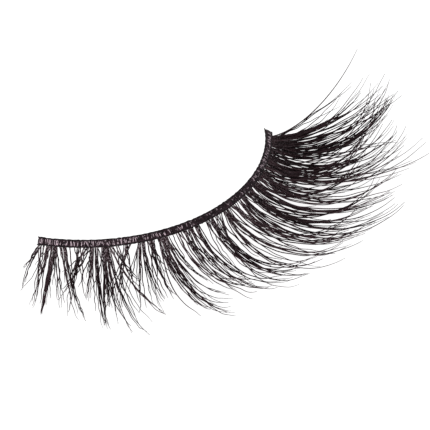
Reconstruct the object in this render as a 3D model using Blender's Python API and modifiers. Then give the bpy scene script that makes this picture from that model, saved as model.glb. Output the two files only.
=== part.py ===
"""False eyelash strip: a bent, tilted glue band with sixteen tufts of curled hair tied along its lower edge.

The strip lies as it rests by itself on a table. The band is raised, and the curled tufts touch the table with their
bellies and their inner tips. The short inner corner is at -X and the long outer corner at +X. Lengths are in metres
and angles in degrees.
"""

import math
from collections import namedtuple

import bmesh
import bpy
from mathutils import Matrix, Vector

# Band
BAND_RADIUS = 0.01785
BAND_ARC = 106.0
BAND_WIDTH = 0.00072
BAND_THICKNESS = 0.0003
BAND_TILT = 50.0
BAND_EDGE_ROUND = 0.00005
BAND_HEIGHT = 0.00425
BAND_FACETS = 29

# Tufts
KNOT_RADIUS = 0.0002
KNOT_CLEARANCE = 0.0002
HAIR_LENGTH = 0.0165
LOCK_WIDTH = 0.0013
LOCK_DEPTH = 0.0006
SHORT_LOCK_SHARE = 0.55
LOCK_SIDES = 8
LOCK_STATIONS = 8
STEPS_PER_STATION = 6
KNOT_BAR_POINTS = 5
WELD_DISTANCE = 0.000001
SHARP_ANGLE = 60.0

# How thick a lock is from its root to its tip, as shares of the full lock
LOCK_PROFILE = ((0.0, 0.54), (0.15, 0.76), (0.40, 1.00), (0.70, 0.78), (0.90, 0.42), (1.0, 0.22))

# A lock of hair. along is its place on the band, from 0 at the inner corner to 1 at the outer one. sweep is how far
# it leans from straight out towards the outer corner, and swing what it gains of that by its tip. drop is how steeply
# it leaves the band, and curl how far it turns up on the way. length is a share of HAIR_LENGTH.
Lock = namedtuple("Lock", "along sweep swing drop curl length")
TUFTS = (
    (Lock(0.008, -20, 2, 50, 34, 0.36), Lock(0.018, -9, 2, 50, 40, 0.43), Lock(0.029, -5, 0, 50, 40, 0.44)),
    (Lock(0.058, -5, 2, 50, 43, 0.47), Lock(0.067, 2, 0, 50, 42, 0.44), Lock(0.078, 9, 2, 50, 46, 0.49)),
    (Lock(0.149, -14, 0, 50, 36, 0.34), Lock(0.157, -7, -2, 50, 40, 0.44), Lock(0.165, -3, 6, 49, 55, 0.58)),
    (Lock(0.199, -4, 2, 50, 46, 0.49), Lock(0.206, -2, 8, 50, 60, 0.63), Lock(0.214, 8, 5, 50, 64, 0.68)),
    (Lock(0.294, -14, 2, 50, 44, 0.45), Lock(0.303, -11, 6, 50, 50, 0.52)),
    (Lock(0.329, -6, 3, 50, 46, 0.49), Lock(0.338, -4, 6, 49, 48, 0.50), Lock(0.348, 1, 8, 49, 50, 0.50)),
    (Lock(0.374, 6, 14, 50, 72, 0.73), Lock(0.387, 9, 13, 49, 72, 0.73)),
    (Lock(0.438, 0, 10, 50, 76, 0.73), Lock(0.462, 3, 12, 46, 80, 0.77), Lock(0.488, 6, 14, 46, 84, 0.82)),
    (Lock(0.522, 4, 16, 50, 86, 0.85), Lock(0.537, 5, 17, 45, 86, 0.83)),
    (Lock(0.571, 4, 18, 50, 88, 0.88), Lock(0.595, 4, 20, 45, 90, 0.88), Lock(0.620, 6, 20, 45, 92, 0.92)),
    (Lock(0.648, 8, 18, 50, 92, 0.92), Lock(0.688, 11, 16, 44, 93, 0.95)),
    (Lock(0.728, 14, 14, 50, 92, 0.98), Lock(0.756, 17, 12, 41, 92, 0.99)),
    (Lock(0.796, 19, 10, 49, 94, 1.00), Lock(0.815, 19, 8, 40, 92, 0.99)),
    (Lock(0.846, 20, 7, 50, 96, 1.00), Lock(0.872, 22, 5, 37, 90, 0.99)),
    (Lock(0.908, 21, 4, 50, 96, 0.98), Lock(0.926, 21, 2, 34, 88, 0.95)),
    (Lock(0.960, 15, 2, 50, 98, 0.96), Lock(0.978, 16, 2, 32, 98, 0.92), Lock(0.994, 28, 0, 25, 76, 0.83)),
)

# Finishes, as base colour, roughness and sheen
BAND_FINISH = ((0.030, 0.022, 0.027), 0.55, 0.1)
HAIR_FINISH = ((0.014, 0.011, 0.012), 0.38, 0.2)


def clear_scene():
    for thing in list(bpy.data.objects):
        bpy.data.objects.remove(thing, do_unlink=True)


def new_collection(name):
    collection = bpy.data.collections.new(name)
    bpy.context.scene.collection.children.link(collection)
    return collection


def finish_material(name, finish):
    color, roughness, sheen = finish
    material = bpy.data.materials.new(name)
    material.use_nodes = True
    shader = material.node_tree.nodes["Principled BSDF"]
    shader.inputs["Base Color"].default_value = (*color, 1.0)
    shader.inputs["Roughness"].default_value = roughness
    shader.inputs["Metallic"].default_value = 0.0
    shader.inputs["Sheen Weight"].default_value = sheen
    material.diffuse_color = (*color, 1.0)
    return material


def round_angle(along):
    """The direction from the arc's centre to a place on the band."""
    return math.radians(-90 + BAND_ARC * (along - 0.5))


def band_point(along, across):
    """A point in the ribbon's middle plane, across it from its upper edge, or past its lower edge."""
    angle = round_angle(along)
    tilt = math.radians(BAND_TILT)
    reach = BAND_RADIUS + across * math.cos(tilt)
    height = BAND_HEIGHT - across * math.sin(tilt)
    return Vector((reach * math.cos(angle), reach * math.sin(angle), height))


def knot_point(along):
    return band_point(along, BAND_WIDTH + KNOT_CLEARANCE + KNOT_RADIUS)


def thickness(lock):
    """A lock's full thickness as a share of the longest one's: short locks are slimmer."""
    return SHORT_LOCK_SHARE + (1 - SHORT_LOCK_SHARE) * lock.length


def profile_at(share):
    """The lock's thickness at this share of its length, straight between the profile's rows."""
    for (start, low), (end, high) in zip(LOCK_PROFILE, LOCK_PROFILE[1:]):
        if share <= end:
            return low + (high - low) * (share - start) / (end - start)
    return LOCK_PROFILE[-1][1]


def lock_points(lock):
    """The lock's middle line: it leaves its knot downwards and outwards and turns up evenly on the way."""
    steps = LOCK_STATIONS * STEPS_PER_STATION
    step = lock.length * HAIR_LENGTH / steps
    point = knot_point(lock.along)
    points = [point.copy()]
    for i in range(steps):
        share = (i + 0.5) / steps
        rise = math.radians(-lock.drop + lock.curl * share)
        heading = round_angle(lock.along) + math.radians(lock.sweep + lock.swing * share)
        flat = math.cos(rise)
        point += Vector((flat * math.cos(heading), flat * math.sin(heading), math.sin(rise))) * step
        if (i + 1) % STEPS_PER_STATION == 0:
            points.append(point.copy())
    return points


def poly_curve(name, points, radii, collection):
    """A curve object through the points, with a radius factor at each."""
    data = bpy.data.curves.new(name, "CURVE")
    data.dimensions = "3D"
    data.twist_mode = "Z_UP"
    data.use_fill_caps = True
    spline = data.splines.new("POLY")
    spline.points.add(len(points) - 1)
    for target, point, radius in zip(spline.points, points, radii):
        target.co = (*point, 1.0)
        target.radius = radius
    curve = bpy.data.objects.new(name, data)
    collection.objects.link(curve)
    return curve


def section_curve(collection):
    """The flat oval that every lock has across it."""
    data = bpy.data.curves.new("lock_section", "CURVE")
    data.dimensions = "2D"
    spline = data.splines.new("POLY")
    spline.points.add(LOCK_SIDES - 1)
    for i, target in enumerate(spline.points):
        turn = math.tau * (i + 0.5) / LOCK_SIDES
        target.co = (LOCK_WIDTH / 2 * math.cos(turn), LOCK_DEPTH / 2 * math.sin(turn), 0.0, 1.0)
    spline.use_cyclic_u = True
    section = bpy.data.objects.new("lock_section", data)
    section.hide_render = True
    section.display_type = "WIRE"
    collection.objects.link(section)
    return section


def mesh_from_curve(curve, collection):
    """The curve as a closed mesh object in its place, with its caps welded on."""
    bpy.context.view_layer.update()
    graph = bpy.context.evaluated_depsgraph_get()
    mesh = bpy.data.meshes.new_from_object(curve.evaluated_get(graph))
    shape = bmesh.new()
    shape.from_mesh(mesh)
    bmesh.ops.remove_doubles(shape, verts=shape.verts, dist=WELD_DISTANCE)
    bmesh.ops.recalc_face_normals(shape, faces=shape.faces)
    shape.to_mesh(mesh)
    shape.free()
    solid = bpy.data.objects.new(curve.name, mesh)
    solid.matrix_world = curve.matrix_world
    collection.objects.link(solid)
    bpy.data.objects.remove(curve, do_unlink=True)
    return solid


def make_band(material, parent, collection):
    """The ribbon: a tilted rectangle spun round the arc, with its long edges rounded a little."""
    tilt = math.radians(BAND_TILT)
    normal = Vector((math.sin(tilt), 0.0, math.cos(tilt))) * BAND_THICKNESS / 2
    start = Matrix.Rotation(round_angle(0.0), 3, "Z")
    shape = bmesh.new()
    corners = []
    for across, side in ((0, -1), (BAND_WIDTH, -1), (BAND_WIDTH, 1), (0, 1)):
        flat = Vector((BAND_RADIUS + across * math.cos(tilt), 0.0, BAND_HEIGHT - across * math.sin(tilt)))
        corners.append(shape.verts.new(start @ (flat + side * normal)))
    section = shape.faces.new(corners)
    bmesh.ops.spin(
        shape,
        geom=[section, *section.edges, *section.verts],
        cent=(0.0, 0.0, 0.0),
        axis=(0.0, 0.0, 1.0),
        angle=math.radians(BAND_ARC),
        steps=BAND_FACETS,
    )
    bmesh.ops.recalc_face_normals(shape, faces=shape.faces)
    mesh = bpy.data.meshes.new("band")
    shape.to_mesh(mesh)
    shape.free()
    band = bpy.data.objects.new("band", mesh)
    collection.objects.link(band)
    band.parent = parent
    rounding = band.modifiers.new("edge rounding", "BEVEL")
    rounding.width = BAND_EDGE_ROUND
    rounding.segments = 1
    rounding.limit_method = "ANGLE"
    rounding.angle_limit = math.radians(SHARP_ANGLE)
    mesh.materials.append(material)
    return band


def make_tuft(name, locks, section, material, parent, collection, helpers):
    """One tuft: its knot bar along the band, with every lock of hair fused to it."""
    margin = KNOT_RADIUS / (BAND_RADIUS * math.radians(BAND_ARC))
    start = locks[0].along - margin
    end = locks[-1].along + margin
    home = Matrix.Translation(knot_point(start)) @ Matrix.Rotation(round_angle(start), 4, "Z")
    places = [start + (end - start) * i / (KNOT_BAR_POINTS - 1) for i in range(KNOT_BAR_POINTS)]
    bar = poly_curve(name + "_knots", [knot_point(place) for place in places], [1.0] * KNOT_BAR_POINTS, helpers)
    bar.data.bevel_depth = KNOT_RADIUS
    bar.data.bevel_resolution = 2
    tuft = mesh_from_curve(bar, collection)
    tuft.name = name
    for i, lock in enumerate(locks):
        points = lock_points(lock)
        radii = [thickness(lock) * profile_at(j / LOCK_STATIONS) for j in range(len(points))]
        strand = poly_curve(f"{name}_lock_{i + 1}", points, radii, helpers)
        strand.data.bevel_mode = "OBJECT"
        strand.data.bevel_object = section
        strand = mesh_from_curve(strand, helpers)
        fuse(tuft, strand)
        bpy.data.objects.remove(strand, do_unlink=True)
    tuft.data.transform(home.inverted())
    tuft.parent = parent
    tuft.matrix_local = home
    tuft.data.name = name
    tuft.data.materials.clear()
    tuft.data.materials.append(material)
    tuft.data.shade_smooth()
    tuft.data.set_sharp_from_angle(angle=math.radians(SHARP_ANGLE))
    return tuft


def fuse(body, extra):
    """Joins the extra solid to the body as one closed surface."""
    union = body.modifiers.new("fuse", "BOOLEAN")
    union.operation = "UNION"
    union.solver = "EXACT"
    union.object = extra
    bpy.context.view_layer.update()
    graph = bpy.context.evaluated_depsgraph_get()
    mesh = bpy.data.meshes.new_from_object(body.evaluated_get(graph))
    body.modifiers.clear()
    body.data = mesh


def bounds_of(things):
    bpy.context.view_layer.update()
    graph = bpy.context.evaluated_depsgraph_get()
    corners = []
    for thing in things:
        evaluated = thing.evaluated_get(graph)
        mesh = evaluated.to_mesh()
        corners.extend(thing.matrix_world @ vertex.co for vertex in mesh.vertices)
        evaluated.to_mesh_clear()
    low = Vector(min(corner[axis] for corner in corners) for axis in range(3))
    high = Vector(max(corner[axis] for corner in corners) for axis in range(3))
    return low, high


def main():
    clear_scene()
    pieces = new_collection("false_eyelash_strip")
    helpers = new_collection("construction_shapes")
    strip = bpy.data.objects.new("false_eyelash_strip", None)
    strip.empty_display_size = BAND_RADIUS
    pieces.objects.link(strip)
    band_material = finish_material("band_finish", BAND_FINISH)
    hair_material = finish_material("hair_finish", HAIR_FINISH)
    section = section_curve(helpers)
    things = [make_band(band_material, strip, pieces)]
    for number, locks in enumerate(TUFTS, start=1):
        name = f"tuft_{number:02d}"
        things.append(make_tuft(name, locks, section, hair_material, strip, pieces, helpers))
    # The strip stands on the ground plane, over the middle of its outline
    low, high = bounds_of(things)
    strip.location = (-(low.x + high.x) / 2, -(low.y + high.y) / 2, -low.z)


main()
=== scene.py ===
"""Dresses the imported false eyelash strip: tufts hair by hair, a wound band, edge threads and a pale studio.

Lengths in tables and named values are in millimetres, and angles in degrees. The frame's solids give the place
of the band.
"""

import math
from collections import namedtuple

import bmesh
import bpy
import numpy as np
from bpy.props import FloatProperty, FloatVectorProperty, IntProperty, PointerProperty
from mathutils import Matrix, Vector


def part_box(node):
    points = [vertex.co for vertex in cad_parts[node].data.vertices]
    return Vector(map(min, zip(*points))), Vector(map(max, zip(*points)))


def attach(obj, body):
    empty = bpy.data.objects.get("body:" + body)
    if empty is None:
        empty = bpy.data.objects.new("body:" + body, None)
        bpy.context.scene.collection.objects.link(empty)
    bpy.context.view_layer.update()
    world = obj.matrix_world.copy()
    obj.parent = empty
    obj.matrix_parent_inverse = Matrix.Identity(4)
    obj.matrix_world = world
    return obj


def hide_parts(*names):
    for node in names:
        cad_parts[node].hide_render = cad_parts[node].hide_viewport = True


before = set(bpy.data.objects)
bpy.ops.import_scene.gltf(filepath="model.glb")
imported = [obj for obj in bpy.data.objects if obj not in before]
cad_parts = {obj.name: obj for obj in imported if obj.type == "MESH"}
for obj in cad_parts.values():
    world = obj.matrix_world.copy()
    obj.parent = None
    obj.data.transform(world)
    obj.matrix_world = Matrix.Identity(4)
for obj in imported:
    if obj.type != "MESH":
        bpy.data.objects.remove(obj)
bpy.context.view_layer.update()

bl_info = {
    "name": "False Eyelash Strip",
    "version": (1, 0, 0),
    "blender": (4, 5, 0),
    "location": "3D View > Sidebar > Lashes",
    "description": "Makes the hairs, band and studio of a false eyelash strip",
    "category": "Object",
}

MM = 0.001

# The band's arc, as in the solids
BAND_RADIUS = 17.85
BAND_ARC = 106.0
BAND_WIDTH = 0.72
BAND_THICKNESS = 0.30
BAND_TILT = 50.0

# The photograph that the camera matches: its side in pixels and in mm at the strip, the camera's angles, and
# where the arc's centre is seen in it
PHOTO_PIXELS = 430
PHOTO_WIDTH = 42.14
CAMERA_AZIMUTH = -39.0
CAMERA_ELEVATION = 35.0
CENTRE_X = 84.0
CENTRE_Y = 135.4

# Hairs: the steps of each one's middle line, how deep its root sits in the band, how close to the band's ends
# roots may come, and how many hairs cling together
STRAND_STEPS = 30
ROOT_INSET = 0.30
ROOT_ENDS = (0.001, 0.999)
HAIRS_THAT_CLING = 3

# How steeply hairs leave the band, how steeply they do at its outer end, and from where on and how late that
# changes
STEEP_DROP = 48.0
OUTER_DROP = 22.0
LEVEL_FROM = 0.84
LEVEL_POWER = 1.5

# How far hairs differ in root, tip, drop and bow: what those that cling together share, and what is each
# one's own
Scatter = namedtuple("Scatter", "shared own")
ROOT_SCATTER = Scatter(0.24, 0.13)
TIP_SCATTER = Scatter(0.50, 0.30)
DROP_SCATTER = Scatter(6.0, 3.5)
BOW_SCATTER = Scatter(8.0, 5.5)

# The share of that scatter in drop and bow at the inner corner, and how strands of many hairs are tighter:
# from this number of hairs on, with this power, and at most this much looser below it
INNER_SCATTER = 0.3
TIGHT_HAIRS = 3
TIGHT_POWER = 0.8
LOOSEST = 1.15

# How much shorter a group that clings together and a single hair may be, as shares of their strand
GROUP_SHORTER = 0.45
HAIR_SHORTER = 0.06

# The short hairs that fill a tuft. Their tips, drop and bow differ this far from those of the strand that
# leads them, with a most for the tips and a gain in bow towards the outer corner. They reach this share of
# the way along it, and choose it this freely.
FILLER_TIP_SCATTER = 1.2
FILLER_TIP_MOST = 1.5
FILLER_DROP_SCATTER = 5.0
FILLER_BOW_SCATTER = 5.0
FILLER_BOW_GAIN = 9.0
FILLER_REACH = (0.35, 0.95)
FILLER_CHOICE = 0.012

# How hairs wander from their arcs: slow waves that grow up to the tip, and ripples that reach their full
# size at this share of the length
WAVE_SIZE = 0.07
WAVES = (0.6, 2.2)
RIPPLE_SIZE = 0.045
RIPPLE_SHARE = (0.3, 1.0)
RIPPLES = (3.0, 6.0)
RIPPLE_START = 0.15

# How far hairs stay above the floor, and how softly they are held there
FLOOR_CLEARANCE = 0.05
FLOOR_BLEND = 0.15

# How thick hairs are as shares of the root width, the stray one apart, and how late they taper
HAIR_THICKNESS = (0.85, 1.3)
STRAY_THICKNESS = (1.2, 1.3)
TAPER_POWER = 2.5

# What tells the random draws of the tufts, the loose hairs and the stray hair apart
SEEDS_APART = 100
LOOSE_SEED = 0
STRAY_SEED = 50

# The ribbon's cut ends: the share of the band over which each one widens, by how much, and how far the outer
# one runs on at its upper edge and slants from there to the lower one
INNER_END = 0.012
OUTER_END = 0.045
INNER_WIDER = 0.10
OUTER_WIDER = 0.75
OUTER_LONGER = 0.009
OUTER_SLANT = 0.020

# The ribbon's section: across it from its upper edge, and off its middle plane as a share of its half
# thickness, which leaves room for the winding
Corner = namedtuple("Corner", "across off")
RIBBON_SECTION = (
    Corner(0.03, -0.40),
    Corner(0.03, 0.40),
    Corner(0.18, 1.00),
    Corner(0.50, 1.08),
    Corner(0.82, 1.00),
    Corner(0.97, 0.40),
    Corner(0.97, -0.40),
    Corner(0.82, -1.00),
    Corner(0.50, -1.08),
    Corner(0.18, -1.00),
)
RIBBON_HALF_SHARE = 0.40
RIBBON_STATIONS = 120
RIBBON_UNEVEN = 0.03

# The edge threads: where across the ribbon, how far off it, how they wave and stray, and how uneven they are
THREAD_EDGES = (0.03, 0.97)
THREAD_OFF = 0.03
THREAD_WAVE = 0.017
THREAD_WAVE_TURN = 310
THREAD_WAVE_APART = 9
THREAD_STRAY = 0.011
THREAD_UNEVEN = 0.12
THREAD_STATIONS = 200
THREAD_SIDES = 8
THREAD_TONES = (0.12, 0.2)
THREAD_PALE = 0.12

# The winding: how unevenly its turns lie and how far they lean, in turns; how far they reach across the
# ribbon and off it; how thick and how pale they are; and by which share they darken, most of all midway
# between this place and the outer end
WINDING_UNEVEN = 0.2
WINDING_LEAN = (-1.0, 2.0)
WINDING_HALF_SHARE = 0.40
WINDING_REACH = (0.85, 1.0)
WINDING_OFF_SHARE = 0.44
WINDING_LIFT = 0.01
WINDING_ENDS = (0.002, 0.998)
WINDING_THICKNESS = (0.6, 1.1)
WINDING_TONES = (0.75, 1.0)
WINDING_DARKER = 0.30
WINDING_DARKENS_FROM = 0.2
WINDING_PALE = 3.1
WINDING_POINTS = 17
WINDING_SIDES = 6

# The lights, with places and sizes in metres and power in watts, and the strength of the white surround
Light = namedtuple("Light", "name place size power")
LIGHTS = (
    Light("key_light", (-0.25, -0.15, 0.45), 0.35, 0.50),
    Light("fill_light", (0.35, 0.20, 0.40), 0.40, 0.28),
)
SURROUND_STRENGTH = 0.15
SENSOR_WIDTH = 36.0

# A strand of hairs. tip_x and tip_y are the pixel of the photograph at which its tip lies, counted from the
# top left corner. They were read for most strands, and placed one by one for crossing ones, for some
# between others and for loose hairs. height is a guess of how high the tip lies above the floor. bow is how
# far the strand leaves the band aside of the way to its tip.
Strand = namedtuple("Strand", "tip_x tip_y height bow hairs")

# A tuft between two places on the band, as shares of its length from the inner corner: the number of short
# single hairs that fill it, and its strands, which are spaced evenly in the order of the rows
Tuft = namedtuple("Tuft", "first last fillers strands")

TUFTS = (
    Tuft(0.004, 0.033, 7, (
        Strand(16, 290, 0.3, 1, 2),
        Strand(26, 305, 0.3, 1, 3),
        Strand(32, 307, 0.3, 0, 3),
    )),
    Tuft(0.045, 0.085, 9, (
        Strand(43, 314, 0.3, 1, 12),
        Strand(67, 310, 0.3, -2, 4),
        Strand(77, 318, 0.3, 1, 3),
        Strand(89, 325, 0.5, 0, 2),
    )),
    Tuft(0.145, 0.170, 7, (
        Strand(68, 282, 0.5, -1, 2),
        Strand(86, 300, 0.3, -2, 5),
        Strand(105, 326, 0.5, 4, 6),
    )),
    Tuft(0.193, 0.220, 11, (
        Strand(113, 328, 0.3, 3, 9),
        Strand(134, 331, 0.5, 2, 3),
        Strand(151, 333, 1.0, 2, 2),
        Strand(166, 312, 1.0, 4, 3),
    )),
    Tuft(0.288, 0.310, 7, (
        Strand(137, 310, 0.5, 2, 4),
        Strand(156, 307, 0.5, 7, 4),
    )),
    Tuft(0.320, 0.365, 13, (
        Strand(167, 310, 0.5, 1, 3),
        Strand(174, 298, 1.0, 7, 4),
        Strand(222, 302, 2.5, 12, 3),
        Strand(229, 311, 2.0, 12, 4),
    )),
    Tuft(0.370, 0.390, 9, (
        Strand(236, 303, 2.5, 7, 3),
        Strand(233, 291, 2.5, 5, 5),
    )),
    Tuft(0.425, 0.495, 13, (
        Strand(255, 283, 3.0, 4, 3),
        Strand(272, 284, 3.0, 6, 3),
        Strand(292, 281, 3.0, 8, 5),
    )),
    Tuft(0.515, 0.545, 7, (
        Strand(305, 272, 3.5, 11, 3),
        Strand(308, 269, 3.5, 10, 2),
        Strand(316, 254, 4.0, 14, 2),
    )),
    Tuft(0.565, 0.650, 15, (
        Strand(305, 271, 3.5, 12, 2),
        Strand(316, 254, 4.0, 8, 3),
        Strand(350, 241, 3.5, 9, 3),
        Strand(358, 237, 3.0, 9, 2),
        Strand(358, 232, 3.0, 9, 3),
        Strand(355, 208, 5.0, 14, 2),
        Strand(350, 227, 4.0, 8, 2),
    )),
    Tuft(0.662, 0.700, 9, (
        Strand(360, 218, 3.5, 8, 2),
        Strand(367, 214, 3.5, 8, 3),
        Strand(382, 211, 3.0, 8, 1),
        Strand(372, 185, 5.5, 14, 2),
    )),
    Tuft(0.712, 0.775, 11, (
        Strand(397, 201, 4.0, 8, 4),
        Strand(397, 202, 2.5, 8, 2),
        Strand(376, 170, 5.5, 14, 2),
        Strand(375, 204, 3.0, 8, 2),
        Strand(393, 188, 3.0, 7, 3),
        Strand(393, 187, 2.5, 6, 3),
        Strand(378, 145, 6.0, 16, 2),
        Strand(397, 179, 2.5, 5, 2),
    )),
    Tuft(0.790, 0.822, 8, (
        Strand(405, 168, 2.5, 4, 2),
        Strand(355, 158, 5.0, 12, 2),
        Strand(402, 170, 3.0, 4, 2),
        Strand(403, 164, 3.0, 2, 2),
        Strand(385, 125, 6.5, 15, 2),
        Strand(401, 168, 1.5, -3, 2),
    )),
    Tuft(0.840, 0.882, 8, (
        Strand(404, 152, 2.5, 0, 2),
        Strand(418, 137, 4.0, 0, 2),
        Strand(374, 130, 6.5, 14, 2),
        Strand(400, 140, 4.0, 2, 2),
        Strand(417, 138, 2.5, 1, 2),
        Strand(370, 123, 7.0, 12, 2),
        Strand(408, 148, 2.5, 0, 2),
        Strand(406, 125, 5.0, 3, 2),
        Strand(381, 104, 7.5, 14, 2),
    )),
    Tuft(0.900, 0.935, 8, (
        Strand(381, 104, 7.0, 12, 2),
        Strand(404, 116, 5.0, 2, 4),
        Strand(374, 88, 8.0, 12, 2),
        Strand(402, 133, 2.5, 0, 2),
        Strand(403, 132, 4.0, -1, 2),
        Strand(387, 94, 8.0, 6, 2),
        Strand(386, 86, 8.0, 12, 2),
        Strand(374, 130, 6.0, 3, 2),
    )),
    Tuft(0.950, 0.998, 15, (
        Strand(381, 104, 7.0, 6, 2),
        Strand(400, 91, 7.5, 1, 2),
        Strand(389, 97, 7.0, 4, 2),
        Strand(386, 86, 7.5, 4, 2),
        Strand(400, 90, 7.0, 4, 4),
        Strand(383, 86, 7.0, 2, 3),
        Strand(399, 91, 7.5, 2, 3),
        Strand(397, 111, 4.0, 7, 2),
        Strand(383, 68, 8.0, -3, 2),
        Strand(370, 91, 6.5, 0, 3),
        Strand(384, 82, 6.0, 3, 3),
        Strand(368, 86, 6.5, -2, 3),
        Strand(377, 74, 7.0, -5, 2),
        Strand(372, 78, 6.0, -2, 2),
        Strand(358, 85, 5.0, -3, 2),
    )),
)

# Single hairs between the tufts, where the strands have no hairs and only lead the filling ones, and the long
# stray hair past the outer corner
LOOSE = (
    Tuft(0.034, 0.052, 4, (
        Strand(30, 300, 0.3, 0, 0),
        Strand(60, 305, 0.3, 0, 0),
    )),
    Tuft(0.090, 0.142, 9, (
        Strand(86, 305, 0.3, 2, 0),
        Strand(75, 318, 0.3, 0, 0),
        Strand(56, 305, 0.3, -6, 0),
    )),
    Tuft(0.172, 0.192, 4, (
        Strand(112, 318, 0.3, 2, 0),
        Strand(90, 312, 0.3, -2, 0),
    )),
    Tuft(0.225, 0.284, 10, (
        Strand(150, 320, 0.5, 5, 0),
        Strand(121, 310, 0.3, 3, 0),
        Strand(112, 312, 0.3, -3, 0),
    )),
    Tuft(0.395, 0.420, 6, (
        Strand(233, 291, 2.5, 5, 0),
        Strand(255, 283, 3.0, 4, 0),
    )),
    Tuft(0.550, 0.566, 4, (
        Strand(308, 262, 3.5, 10, 0),
    )),
    Tuft(0.700, 0.715, 4, (
        Strand(372, 185, 5.0, 14, 0),
    )),
    Tuft(0.775, 0.790, 4, (
        Strand(397, 172, 3.0, 4, 0),
        Strand(375, 150, 5.5, 12, 0),
    )),
    Tuft(0.822, 0.842, 4, (
        Strand(400, 150, 3.0, 3, 0),
        Strand(378, 120, 6.5, 12, 0),
    )),
    Tuft(0.882, 0.901, 4, (
        Strand(405, 135, 3.5, 1, 0),
        Strand(384, 105, 7.0, 10, 0),
    )),
    Tuft(0.934, 0.952, 5, (
        Strand(398, 122, 5.0, 3, 0),
        Strand(382, 92, 7.5, 6, 0),
    )),
)
STRAY = (Tuft(0.998, 0.998, 0, (Strand(358, 48, 8.5, -6, 1),)),)


class HairSettings(bpy.types.PropertyGroup):
    """Sizes and colours of the hairs."""

    root_width: FloatProperty(
        name="Root width", description="Thickness of a hair where it leaves the band",
        default=0.106 * MM, min=0.02 * MM, max=0.3 * MM, unit="LENGTH", precision=6,
    )
    tip_share: FloatProperty(
        name="Tip share", description="Thickness of a hair at its tip, as a share of its root",
        default=0.30, min=0.02, max=1.0, subtype="FACTOR",
    )
    sides: IntProperty(
        name="Sides", description="Faces round each hair", default=6, min=4, max=12,
    )
    seed: IntProperty(
        name="Seed", description="Start of the random draws that set each hair apart", default=7,
    )
    dark: FloatVectorProperty(
        name="Dark fibre", description="Colour of the darkest hairs",
        default=(0.008, 0.0055, 0.006), size=3, min=0.0, max=1.0, subtype="COLOR",
    )
    warm: FloatVectorProperty(
        name="Warm fibre", description="Colour of the lightest hairs",
        default=(0.17, 0.10, 0.115), size=3, min=0.0, max=1.0, subtype="COLOR",
    )
    # Painted highlight: the pale flecks near the roots stand in for glints of light on the knotted roots, not
    # for glue
    highlight_fleck: FloatVectorProperty(
        name="Flecks", description="Colour of the glue flecks near the roots",
        default=(0.60, 0.50, 0.54), size=3, min=0.0, max=1.0, subtype="COLOR",
    )


class BandSettings(bpy.types.PropertyGroup):
    """Sizes and colours of the band."""

    thread_width: FloatProperty(
        name="Edge thread width", description="Thickness of the two threads along the band's edges",
        default=0.13 * MM, min=0.02 * MM, max=0.4 * MM, unit="LENGTH", precision=6,
    )
    winding_pitch: FloatProperty(
        name="Winding pitch", description="Distance along the band from one turn of thread to the next",
        default=0.17 * MM, min=0.1 * MM, max=1.0 * MM, unit="LENGTH", precision=6,
    )
    winding_width: FloatProperty(
        name="Winding width", description="Thickness of the thread that is wound round the band",
        default=0.095 * MM, min=0.02 * MM, max=0.4 * MM, unit="LENGTH", precision=6,
    )
    cloth: FloatVectorProperty(
        name="Band cloth", description="Colour of the ribbon under the thread",
        default=(0.065, 0.036, 0.048), size=3, min=0.0, max=1.0, subtype="COLOR",
    )
    thread: FloatVectorProperty(
        name="Winding thread", description="Colour of the thread that is wound round the band",
        default=(0.36, 0.29, 0.32), size=3, min=0.0, max=1.0, subtype="COLOR",
    )


class StageSettings(bpy.types.PropertyGroup):
    """The floor, the lights and the camera."""

    azimuth: FloatProperty(
        name="Camera azimuth", description="Turn of the camera round the strip",
        default=math.radians(CAMERA_AZIMUTH), unit="ROTATION",
    )
    elevation: FloatProperty(
        name="Camera elevation", description="Height of the camera above the horizon",
        default=math.radians(CAMERA_ELEVATION), unit="ROTATION",
    )
    picture_width: FloatProperty(
        name="Picture width", description="Width that the picture takes in at the strip",
        default=PHOTO_WIDTH * MM, min=1 * MM, unit="LENGTH",
    )
    lens: FloatProperty(
        name="Lens", description="Focal length of the camera in millimetres", default=1200.0, min=1.0,
    )
    floor_size: FloatProperty(
        name="Floor size", description="Side of the square floor", default=4.0, min=0.1, unit="LENGTH",
    )
    floor_color: FloatVectorProperty(
        name="Floor colour", description="Colour of the floor",
        default=(0.93, 0.93, 0.93), size=3, min=0.0, max=1.0, subtype="COLOR",
    )


# Places on the band


def round_angle(along):
    """The direction from the arc's centre to a place on the band."""
    return np.radians(-90 + BAND_ARC * (np.asarray(along, float) - 0.5))


def arc_centre():
    """The point under the arc's centre from which band_place counts, read off the band's solid."""
    low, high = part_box("band")
    tilt = math.radians(BAND_TILT)
    reach = BAND_RADIUS + BAND_WIDTH * math.cos(tilt) + BAND_THICKNESS / 2 * math.sin(tilt)
    top = BAND_THICKNESS / 2 * math.cos(tilt)
    return np.array(((low[0] + high[0]) / 2, low[1] + reach * MM, high[2] - top * MM))


CENTRE = arc_centre()


def band_place(along, across, off=0.0):
    """Points on the ribbon, in mm across it from its upper edge and off its middle plane to the outside."""
    angle = round_angle(along)
    tilt = math.radians(BAND_TILT)
    reach = BAND_RADIUS + across * math.cos(tilt) + off * math.sin(tilt)
    height = -across * math.sin(tilt) + off * math.cos(tilt)
    flat = np.stack((reach * np.cos(angle), reach * np.sin(angle), height + 0 * angle), axis=-1)
    return CENTRE + flat * MM


def cloth_place(along, across, off=0.0):
    """Points on the ribbon as it is cut: wider at both ends and slanting at the outer one."""
    inner = np.exp(-along / INNER_END)
    outer = np.exp(-(1 - along) / OUTER_END)
    wider = 1 + INNER_WIDER * inner + OUTER_WIDER * outer
    slant = outer * (OUTER_LONGER + OUTER_SLANT * across)
    return band_place(along + slant, BAND_WIDTH * (0.5 + (across - 0.5) * wider), off)


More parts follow.
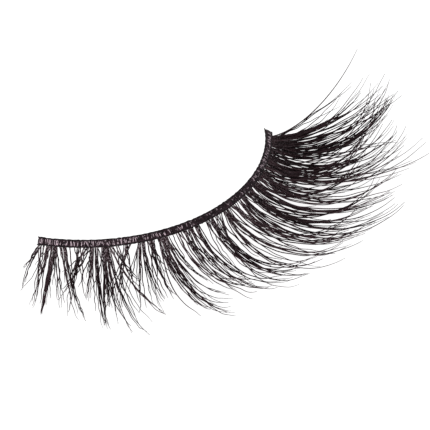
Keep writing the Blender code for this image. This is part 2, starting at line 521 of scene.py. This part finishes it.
def camera_axes(turn, height):
    """The directions to the right of the picture, up in it and out of it towards the camera."""
    right = np.array((math.cos(turn), math.sin(turn), 0.0))
    back = np.array((math.sin(turn) * math.cos(height), -math.cos(turn) * math.cos(height), math.sin(height)))
    return right, np.cross(back, right), back


def seen_at(x, y, height):
    """The points at these heights above the floor, in mm, that are seen at these pixels of the photograph."""
    right, up, back = camera_axes(math.radians(CAMERA_AZIMUTH), math.radians(CAMERA_ELEVATION))
    scale = PHOTO_WIDTH / PHOTO_PIXELS * MM
    plane = CENTRE + np.outer((x - CENTRE_X) * scale, right) - np.outer((y - CENTRE_Y) * scale, up)
    return plane + np.outer((height * MM - plane[:, 2]) / back[2], back)


# Lines of hairs

# What leads the hairs of a tuft, a row for each strand: its place on the band, its tip, its drop and its bow
Leads = namedtuple("Leads", "along tips drop bow")


def lead_drop(along):
    """How steeply hairs leave the band: less so close to the outer corner."""
    outer = np.clip((along - LEVEL_FROM) / (1 - LEVEL_FROM), 0, 1)
    return STEEP_DROP + (OUTER_DROP - STEEP_DROP) * outer ** LEVEL_POWER


def arc_lines(along, tips, drop, bow, reach):
    """The middle lines of many hairs: arcs that leave the band downwards and bend up towards their tips."""
    start = band_place(along, BAND_WIDTH)
    chord = tips - start
    span = np.linalg.norm(chord, axis=1, keepdims=True)
    aim = chord / span
    heading = np.arctan2(chord[:, 1], chord[:, 0]) - np.radians(bow)
    fall = np.radians(drop)
    lead = np.stack((np.cos(fall) * np.cos(heading), np.cos(fall) * np.sin(heading), -np.sin(fall)), axis=1)
    cosine = np.sum(lead * aim, axis=1, keepdims=True)
    bend = np.arccos(cosine)
    side = (aim - lead * cosine) / np.sin(bend)
    angle = reach[:, None, None] * np.linspace(0, 1, STRAND_STEPS + 1)[1:, None] * bend[:, None]
    size = (span / np.sin(bend))[:, None] * np.sin(angle)
    line = start[:, None] + size * (np.cos(angle) * lead[:, None] + np.sin(angle) * side[:, None])
    inside = band_place(along, BAND_WIDTH - ROOT_INSET)
    return np.concatenate((inside[:, None], start[:, None], line), axis=1)


def clinging_groups(tuft):
    """For each hair of a tuft: its strand, the group it clings to, and whether that is the strand's first."""
    pairs = []
    for row, strand in enumerate(tuft.strands):
        pairs += [(row, hair // HAIRS_THAT_CLING) for hair in range(strand.hairs)]
    groups = sorted(set(pairs))
    strand = np.array([row for row, part in pairs], int)
    group = np.array([groups.index(pair) for pair in pairs], int)
    first = np.array([part == 0 for row, part in pairs], bool)
    return strand, group, first


def strand_hairs(tuft, leads, loose, draw):
    """The hairs of a tuft's strands, in small groups that cling together."""
    strand, group, first = clinging_groups(tuft)
    count = len(strand)
    groups = len(set(group))

    def vary(scatter):
        shared = scatter.shared * draw.normal(0, 1, groups)[group]
        return loose * (shared + scatter.own * draw.normal(0, 1, count))

    arc = BAND_RADIUS * math.radians(BAND_ARC)
    hairs = np.array([lead.hairs for lead in tuft.strands])
    spread = np.minimum(LOOSEST, TIGHT_HAIRS / np.maximum(hairs, 1))[strand] ** TIGHT_POWER
    lively = (INNER_SCATTER + (1 - INNER_SCATTER) * leads.along[strand]) * spread
    roots = leads.along[strand] + vary(ROOT_SCATTER) / arc
    drops = leads.drop[strand] + lively * vary(DROP_SCATTER)
    bows = leads.bow[strand] + lively * vary(BOW_SCATTER)
    shift = np.stack([spread * vary(TIP_SCATTER) for axis in range(3)], axis=1) * MM
    shorter = np.where(first, 0.0, GROUP_SHORTER * draw.uniform(0, 1, max(groups, 1))[group])
    reach = 1 - loose * (shorter + HAIR_SHORTER * draw.uniform(0, 1, count))
    return arc_lines(np.clip(roots, *ROOT_ENDS), leads.tips[strand] + shift, drops, bows, reach)


def filling_hairs(tuft, leads, draw):
    """Short single hairs anywhere in a tuft, each led by a strand close to its root."""
    count = tuft.fillers
    roots = draw.uniform(tuft.first, tuft.last, count)
    choice = FILLER_CHOICE * draw.uniform(0, 1, (count, len(leads.along)))
    strand = np.argmin(np.abs(roots[:, None] - leads.along) + choice, axis=1)
    stray = np.clip(draw.normal(0, 1, (count, 3)), -FILLER_TIP_MOST, FILLER_TIP_MOST)
    shift = FILLER_TIP_SCATTER * MM * stray
    reach = draw.uniform(*FILLER_REACH, count)
    drops = leads.drop[strand] + FILLER_DROP_SCATTER * draw.normal(0, 1, count)
    aside = FILLER_BOW_SCATTER + FILLER_BOW_GAIN * leads.along[strand]
    bows = leads.bow[strand] + aside * draw.normal(0, 1, count)
    return arc_lines(roots, leads.tips[strand] + shift, drops, bows, reach)


def tuft_lines(tuft, draw):
    """All the hairs of one tuft. A tuft of one single hair follows its arc and doesn't scatter or wander."""
    x, y, height, bow, hairs = np.array(tuft.strands, float).T
    along = tuft.first + (tuft.last - tuft.first) * (np.arange(len(x)) + 0.5) / len(x)
    leads = Leads(along, seen_at(x, y, height), lead_drop(along), bow)
    loose = 0.0 if hairs.sum() == 1 else 1.0
    lines = strand_hairs(tuft, leads, loose, draw)
    if tuft.fillers:
        lines = np.concatenate((lines, filling_hairs(tuft, leads, draw)))
    return keep_above_floor(wander(lines, loose, draw))


def wander(lines, loose, draw):
    """Makes each hair stray a little from its arc, more towards its tip."""
    count = len(lines)
    share = np.linspace(0, 1, lines.shape[1])
    grown = np.minimum(1, share / RIPPLE_START)
    for axis in range(3):
        size = WAVE_SIZE * MM * loose * draw.normal(0, 1, (count, 1))
        waves = draw.uniform(*WAVES, (count, 1))
        phase = draw.uniform(0, 1, (count, 1))
        lines[..., axis] += size * share * np.sin(math.tau * (waves * share + phase))
        size = RIPPLE_SIZE * MM * loose * draw.uniform(*RIPPLE_SHARE, (count, 1))
        waves = draw.uniform(*RIPPLES, (count, 1))
        phase = draw.uniform(0, 1, (count, 1))
        lines[..., axis] += size * grown * np.sin(math.tau * (waves * share + phase))
    return lines


def keep_above_floor(lines):
    """Lifts what would sink into the floor, smoothly, to just above it."""
    clear = FLOOR_CLEARANCE * MM
    blend = FLOOR_BLEND * MM
    height = lines[..., 2]
    lines[..., 2] = clear + blend * np.logaddexp(0, (height - clear) / blend)
    return lines


# Meshes


def tube_mesh(name, lines, radii, sides, tones):
    """Closed tubes along the lines, with each hair's tone and the share of its length kept on its points."""
    count, stations = radii.shape
    tangent = np.gradient(lines, axis=1)
    tangent /= np.linalg.norm(tangent, axis=2, keepdims=True)
    side = np.cross(tangent, (0.0, 0.0, 1.0))
    side /= np.linalg.norm(side, axis=2, keepdims=True)
    lift = np.cross(side, tangent)
    turn = np.arange(sides) / sides * math.tau
    ring = side[:, :, None] * np.cos(turn)[:, None] + lift[:, :, None] * np.sin(turn)[:, None]
    points = lines[:, :, None] + ring * radii[:, :, None, None]
    index = np.arange(count * stations * sides).reshape(count, stations, sides)
    near, far = index[:, :-1], index[:, 1:]
    quads = np.stack((near, np.roll(near, -1, axis=2), np.roll(far, -1, axis=2), far), axis=-1)
    faces = quads.reshape(-1, 4).tolist()
    faces += index[:, 0, ::-1].tolist()
    faces += index[:, -1].tolist()
    mesh = bpy.data.meshes.new(name)
    mesh.from_pydata(points.reshape(-1, 3).tolist(), [], faces)
    share = np.linspace(0, 1, stations)
    values = {
        "strand_tone": np.repeat(tones, stations * sides),
        "strand_share": np.tile(np.repeat(share, sides), count),
    }
    for key, value in values.items():
        mesh.attributes.new(key, "FLOAT", "POINT").data.foreach_set("value", value.astype(np.float32))
    mesh.shade_smooth()
    return mesh


def add_piece(name, mesh, material, replaced=()):
    """Puts a mesh in the scene as a piece of the strip, in a named finish slot."""
    piece = bpy.data.objects.new(name, mesh)
    bpy.context.scene.collection.objects.link(piece)
    mesh.materials.append(material)
    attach(piece, "root")
    if replaced:
        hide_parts(*replaced)
    return piece


def hair_mesh(name, tufts, seed, thickness=HAIR_THICKNESS):
    """The hairs of some tufts as one mesh."""
    settings = bpy.context.scene.lash_hair
    draw = np.random.RandomState(settings.seed * SEEDS_APART + seed)
    lines = np.concatenate([tuft_lines(tuft, draw) for tuft in tufts])
    count, stations = lines.shape[:2]
    share = np.linspace(0, 1, stations)
    taper = 1 - (1 - settings.tip_share) * share ** TAPER_POWER
    radii = settings.root_width / 2 * draw.uniform(*thickness, count)[:, None] * taper
    return tube_mesh(name, lines, radii, settings.sides, draw.uniform(0, 1, count))


# Finishes


class Finish:
    """A new material, with the few kinds of nodes that the finishes are made of."""

    def __init__(self, name):
        self.material = bpy.data.materials.new(name)
        self.material.use_nodes = True
        self.nodes = self.material.node_tree.nodes
        self.links = self.material.node_tree.links
        self.shader = self.nodes["Principled BSDF"]
        self.place = self.nodes.new("ShaderNodeTexCoord").outputs["Object"]

    def attribute(self, key):
        """A value that the points of the mesh carry."""
        node = self.nodes.new("ShaderNodeAttribute")
        node.attribute_name = key
        return node.outputs["Fac"]

    def noise(self, scale, detail, place=None):
        """Noise through the object, or over another place."""
        node = self.nodes.new("ShaderNodeTexNoise")
        node.inputs["Scale"].default_value = scale
        node.inputs["Detail"].default_value = detail
        self.links.new(self.place if place is None else place, node.inputs["Vector"])
        return node.outputs["Fac"]

    def product(self, one, other):
        node = self.nodes.new("ShaderNodeMath")
        node.operation = "MULTIPLY"
        self.links.new(one, node.inputs[0])
        self.links.new(other, node.inputs[1])
        return node.outputs["Value"]

    def fade(self, value, start, end, first=0.0, last=1.0):
        """The first amount where the value is at the start, going evenly to the last one at the end."""
        node = self.nodes.new("ShaderNodeMapRange")
        node.inputs["From Min"].default_value = start
        node.inputs["From Max"].default_value = end
        node.inputs["To Min"].default_value = first
        node.inputs["To Max"].default_value = last
        self.links.new(value, node.inputs["Value"])
        return node.outputs["Result"]

    def ramp(self, value, low, high, start=0.0, end=1.0):
        """A colour from low to high as the value goes from the start to the end."""
        node = self.nodes.new("ShaderNodeValToRGB")
        for element, position, color in zip(node.color_ramp.elements, (start, end), (low, high)):
            element.position = position
            element.color = (*color, 1.0)
        self.links.new(value, node.inputs["Fac"])
        return node.outputs["Color"]

    def base_color(self, color):
        self.links.new(color, self.shader.inputs["Base Color"])

    def bump(self, height, strength, depth):
        """Relief from a value, as deep as this in mm."""
        node = self.nodes.new("ShaderNodeBump")
        node.inputs["Strength"].default_value = strength
        node.inputs["Distance"].default_value = depth * MM
        self.links.new(height, node.inputs["Height"])
        self.links.new(node.outputs["Normal"], self.shader.inputs["Normal"])


def shade(color, share):
    return [channel * share for channel in color]


def hair_finish():
    """Near-black fibre: a tone for each hair, fine streaks, a soft gloss, and pale flecks at the root that are
    painted highlights.
    """
    settings = bpy.context.scene.lash_hair
    finish = Finish("lash_fibre")
    tone = finish.attribute("strand_tone")
    share = finish.attribute("strand_share")
    on_hair = finish.nodes.new("ShaderNodeCombineXYZ")
    finish.links.new(tone, on_hair.inputs["X"])
    finish.links.new(share, on_hair.inputs["Y"])
    streaks = finish.noise(scale=23.0, detail=4.0, place=on_hair.outputs["Vector"])
    fibre = finish.ramp(finish.product(tone, streaks), settings.dark, settings.warm, end=0.7)

    # The flecks are painted highlights, glints on the knotted roots. They lie near the roots, and thin out
    # past the strip's middle
    flecks = finish.fade(finish.noise(scale=6500.0, detail=1.0), start=0.52, end=0.60)
    near_root = finish.fade(share, start=0.40, end=0.15)
    apart = finish.nodes.new("ShaderNodeSeparateXYZ")
    finish.links.new(finish.place, apart.inputs["Vector"])
    inner = finish.fade(apart.outputs["X"], start=-8 * MM, end=6 * MM, first=1.0, last=0.2)
    highlighted = finish.nodes.new("ShaderNodeMix")
    highlighted.data_type = "RGBA"
    finish.links.new(finish.product(finish.product(flecks, near_root), inner), highlighted.inputs["Factor"])
    finish.links.new(fibre, highlighted.inputs["A"])
    highlighted.inputs["B"].default_value = (*settings.highlight_fleck, 1.0)
    finish.base_color(highlighted.outputs["Result"])

    gloss = finish.fade(streaks, start=0.0, end=1.0, first=0.38, last=0.58)
    finish.links.new(gloss, finish.shader.inputs["Roughness"])
    finish.bump(finish.noise(scale=9000.0, detail=2.0), strength=0.25, depth=0.004)
    finish.shader.inputs["IOR"].default_value = 1.22
    finish.shader.inputs["Specular IOR Level"].default_value = 0.12
    return finish.material


def cloth_finish():
    """The ribbon: dark cloth stiffened with size, with a fine weave."""
    settings = bpy.context.scene.lash_band
    finish = Finish("band_cloth")
    mottle = finish.noise(scale=2600.0, detail=5.0)
    dark, pale = shade(settings.cloth, 0.35), shade(settings.cloth, 1.6)
    finish.base_color(finish.ramp(mottle, dark, pale, start=0.35, end=0.70))
    weave = finish.nodes.new("ShaderNodeTexWave")
    weave.inputs["Scale"].default_value = 3500.0
    weave.inputs["Distortion"].default_value = 4.0
    finish.links.new(finish.place, weave.inputs["Vector"])
    finish.bump(weave.outputs["Fac"], strength=0.4, depth=0.02)
    finish.shader.inputs["Roughness"].default_value = 0.62
    finish.shader.inputs["Specular IOR Level"].default_value = 0.10
    finish.shader.inputs["Sheen Weight"].default_value = 0.04
    return finish.material


def thread_finish(name, pale_share):
    """Thread: a twist of fibres, paler where the tone of its turn is high."""
    settings = bpy.context.scene.lash_band
    finish = Finish(name)
    flecks = finish.noise(scale=3800.0, detail=3.0)
    tone = finish.product(finish.attribute("strand_tone"), flecks)
    dark, pale = shade(settings.thread, 0.10), shade(settings.thread, pale_share)
    finish.base_color(finish.ramp(tone, dark, pale, start=0.34, end=0.46))
    finish.bump(flecks, strength=0.5, depth=0.01)
    finish.shader.inputs["Roughness"].default_value = 0.55
    finish.shader.inputs["Specular IOR Level"].default_value = 0.12
    finish.shader.inputs["Sheen Weight"].default_value = 0.08
    return finish.material


def floor_finish():
    """Pale matt acrylic, lit from below as on a light table, so that the hairs throw almost no shadow."""
    settings = bpy.context.scene.lash_stage
    finish = Finish("floor_acrylic")
    mottle = finish.noise(scale=40.0, detail=2.0)
    finish.base_color(finish.ramp(mottle, shade(settings.floor_color, 0.99), settings.floor_color))
    finish.shader.inputs["Roughness"].default_value = 0.9
    finish.shader.inputs["Specular IOR Level"].default_value = 0.1
    finish.shader.inputs["Emission Color"].default_value = (1.0, 1.0, 1.0, 1.0)
    finish.shader.inputs["Emission Strength"].default_value = 0.86
    return finish.material


# The operators


class LASHES_OT_ribbon(bpy.types.Operator):
    """Makes the band's ribbon, a little uneven along its edges and flared at its cut ends"""

    bl_idname = "lashes.ribbon"
    bl_label = "Ribbon"

    def execute(self, context):
        draw = np.random.RandomState(context.scene.lash_hair.seed)
        shape = bmesh.new()
        rings = []
        for along in np.arange(RIBBON_STATIONS + 1) / RIBBON_STATIONS:
            half = BAND_THICKNESS * RIBBON_HALF_SHARE * (1 + RIBBON_UNEVEN * draw.normal())
            places = [cloth_place(along, corner.across, half * corner.off) for corner in RIBBON_SECTION]
            rings.append([shape.verts.new(place) for place in places])
        for near, far in zip(rings, rings[1:]):
            for i in range(len(near)):
                k = (i + 1) % len(near)
                shape.faces.new((near[i], near[k], far[k], far[i]))
        shape.faces.new(rings[0][::-1])
        shape.faces.new(rings[-1])
        bmesh.ops.recalc_face_normals(shape, faces=shape.faces)
        mesh = bpy.data.meshes.new("band_ribbon")
        shape.to_mesh(mesh)
        shape.free()
        mesh.shade_smooth()
        ribbon = add_piece("band_ribbon", mesh, cloth_finish(), ("band",))
        smooth = ribbon.modifiers.new("smooth", "SUBSURF")
        smooth.levels = 1
        smooth.render_levels = 1
        return {"FINISHED"}


class LASHES_OT_threads(bpy.types.Operator):
    """Lays a dark thread along each edge of the band"""

    bl_idname = "lashes.threads"
    bl_label = "Edge threads"

    def execute(self, context):
        settings = context.scene.lash_band
        draw = np.random.RandomState(context.scene.lash_hair.seed + 1)
        along = np.linspace(0, 1, THREAD_STATIONS)
        lines = []
        for across in THREAD_EDGES:
            wave = THREAD_WAVE * np.sin(along * THREAD_WAVE_TURN + across * THREAD_WAVE_APART)
            stray = THREAD_STRAY * draw.normal(0, 1, THREAD_STATIONS)
            lines.append(cloth_place(along, across + wave + stray, THREAD_OFF))
        uneven = 1 + THREAD_UNEVEN * draw.normal(0, 1, (len(lines), THREAD_STATIONS))
        radii = settings.thread_width / 2 * uneven
        mesh = tube_mesh("band_edge_threads", np.array(lines), radii, THREAD_SIDES, np.array(THREAD_TONES))
        add_piece("band_edge_threads", mesh, thread_finish("edge_thread", THREAD_PALE))
        return {"FINISHED"}


class LASHES_OT_winding(bpy.types.Operator):
    """Winds a thread round the band in slanting turns"""

    bl_idname = "lashes.winding"
    bl_label = "Winding"

    def execute(self, context):
        settings = context.scene.lash_band
        draw = np.random.RandomState(context.scene.lash_hair.seed + 2)
        arc = BAND_RADIUS * math.radians(BAND_ARC) * MM
        turns = int(arc / settings.winding_pitch)
        turn = np.linspace(0, math.tau, WINDING_POINTS)
        over = 0.5 - 0.5 * np.cos(turn)
        off = (BAND_THICKNESS * WINDING_OFF_SHARE + WINDING_LIFT) * np.sin(turn)
        lines = []
        tones = []
        for i in range(turns):
            middle = (i + 0.5 + WINDING_UNEVEN * draw.normal()) / turns
            lean = settings.winding_pitch / arc * draw.uniform(*WINDING_LEAN)
            across = BAND_WIDTH * (0.5 - WINDING_HALF_SHARE * np.cos(turn) * draw.uniform(*WINDING_REACH))
            along = np.clip(middle + lean * over, *WINDING_ENDS)
            lines.append(band_place(along, across, off))
            past = max(0.0, middle - WINDING_DARKENS_FROM) / (1 - WINDING_DARKENS_FROM)
            tones.append((1 - WINDING_DARKER * math.sin(math.pi * past)) * draw.uniform(*WINDING_TONES))
        thickness = draw.uniform(*WINDING_THICKNESS, (turns, 1)) * np.ones((1, WINDING_POINTS))
        radii = settings.winding_width / 2 * thickness
        mesh = tube_mesh("band_winding", np.array(lines), radii, WINDING_SIDES, np.array(tones))
        add_piece("band_winding", mesh, thread_finish("winding_thread", WINDING_PALE))
        return {"FINISHED"}


class LASHES_OT_tufts(bpy.types.Operator):
    """Ties every tuft of hair to the band"""

    bl_idname = "lashes.tufts"
    bl_label = "Tufts"

    def execute(self, context):
        finish = hair_finish()
        for number, tuft in enumerate(TUFTS, start=1):
            node = f"tuft_{number:02d}"
            mesh = hair_mesh(node + "_hairs", (tuft,), number)
            add_piece(node + "_hairs", mesh, finish, (node,))
        return {"FINISHED"}


class LASHES_OT_loose_hairs(bpy.types.Operator):
    """Adds the single hairs between the tufts and past the outer corner"""

    bl_idname = "lashes.loose_hairs"
    bl_label = "Loose hairs"

    def execute(self, context):
        finish = bpy.data.materials["lash_fibre"]
        loose = hair_mesh("loose_hairs", LOOSE, LOOSE_SEED)
        stray = hair_mesh("stray_hair", STRAY, STRAY_SEED, STRAY_THICKNESS)
        add_piece("loose_hairs", loose, finish)
        add_piece("stray_hair", stray, finish)
        return {"FINISHED"}


class LASHES_OT_stage(bpy.types.Operator):
    """Makes the pale floor, the soft lights and the camera"""

    bl_idname = "lashes.stage"
    bl_label = "Stage"

    def execute(self, context):
        settings = context.scene.lash_stage
        half = settings.floor_size / 2
        mesh = bpy.data.meshes.new("floor")
        corners = [(-half, -half, 0), (half, -half, 0), (half, half, 0), (-half, half, 0)]
        mesh.from_pydata(corners, [], [(0, 1, 2, 3)])
        mesh.materials.append(floor_finish())
        floor = bpy.data.objects.new("floor", mesh)
        context.scene.collection.objects.link(floor)
        self.light_scene(context)
        self.place_camera(context, settings)
        return {"FINISHED"}

    def light_scene(self, context):
        world = bpy.data.worlds.new("studio")
        world.use_nodes = True
        background = world.node_tree.nodes["Background"]
        background.inputs["Color"].default_value = (1.0, 1.0, 1.0, 1.0)
        background.inputs["Strength"].default_value = SURROUND_STRENGTH
        context.scene.world = world
        for light in LIGHTS:
            data = bpy.data.lights.new(light.name, "AREA")
            data.size = light.size
            data.energy = light.power
            lamp = bpy.data.objects.new(light.name, data)
            lamp.location = light.place
            lamp.rotation_mode = "QUATERNION"
            lamp.rotation_quaternion = (-Vector(light.place)).to_track_quat("-Z", "Y")
            context.scene.collection.objects.link(lamp)
        context.scene.view_settings.view_transform = "Standard"

    def place_camera(self, context, settings):
        data = bpy.data.cameras.new("camera")
        data.lens = settings.lens
        data.sensor_width = SENSOR_WIDTH
        data.clip_start = 0.01
        data.clip_end = 10.0
        camera = bpy.data.objects.new("camera", data)
        right, up, back = (Vector(axis) for axis in camera_axes(settings.azimuth, settings.elevation))
        # The arc's centre lies left of and above the middle of the picture
        pixel = settings.picture_width / PHOTO_PIXELS
        half = PHOTO_PIXELS / 2
        middle = Vector(CENTRE) + right * (half - CENTRE_X) * pixel - up * (half - CENTRE_Y) * pixel
        distance = settings.picture_width * settings.lens / SENSOR_WIDTH
        camera.location = middle + back * distance
        camera.rotation_mode = "QUATERNION"
        camera.rotation_quaternion = (-back).to_track_quat("-Z", "Y")
        context.scene.collection.objects.link(camera)
        context.scene.camera = camera


OPERATORS = (
    LASHES_OT_ribbon,
    LASHES_OT_threads,
    LASHES_OT_winding,
    LASHES_OT_tufts,
    LASHES_OT_loose_hairs,
    LASHES_OT_stage,
)


class LASHES_PT_panel(bpy.types.Panel):
    """Lists the settings and the steps that make the strip"""

    bl_idname = "LASHES_PT_panel"
    bl_label = "False eyelash strip"
    bl_space_type = "VIEW_3D"
    bl_region_type = "UI"
    bl_category = "Lashes"

    def draw(self, context):
        scene = context.scene
        for group in (scene.lash_hair, scene.lash_band, scene.lash_stage):
            box = self.layout.box()
            for key in group.__annotations__:
                box.prop(group, key)
        for operator in OPERATORS:
            self.layout.operator(operator.bl_idname)


CLASSES = (HairSettings, BandSettings, StageSettings, *OPERATORS, LASHES_PT_panel)


def register():
    for thing in CLASSES:
        bpy.utils.register_class(thing)
    bpy.types.Scene.lash_hair = PointerProperty(type=HairSettings)
    bpy.types.Scene.lash_band = PointerProperty(type=BandSettings)
    bpy.types.Scene.lash_stage = PointerProperty(type=StageSettings)


def unregister():
    del bpy.types.Scene.lash_stage
    del bpy.types.Scene.lash_band
    del bpy.types.Scene.lash_hair
    for thing in reversed(CLASSES):
        bpy.utils.unregister_class(thing)


def main():
    register()
    bpy.ops.lashes.ribbon()
    bpy.ops.lashes.threads()
    bpy.ops.lashes.winding()
    bpy.ops.lashes.tufts()
    bpy.ops.lashes.loose_hairs()
    bpy.ops.lashes.stage()


if __name__ == "__main__":
    main()
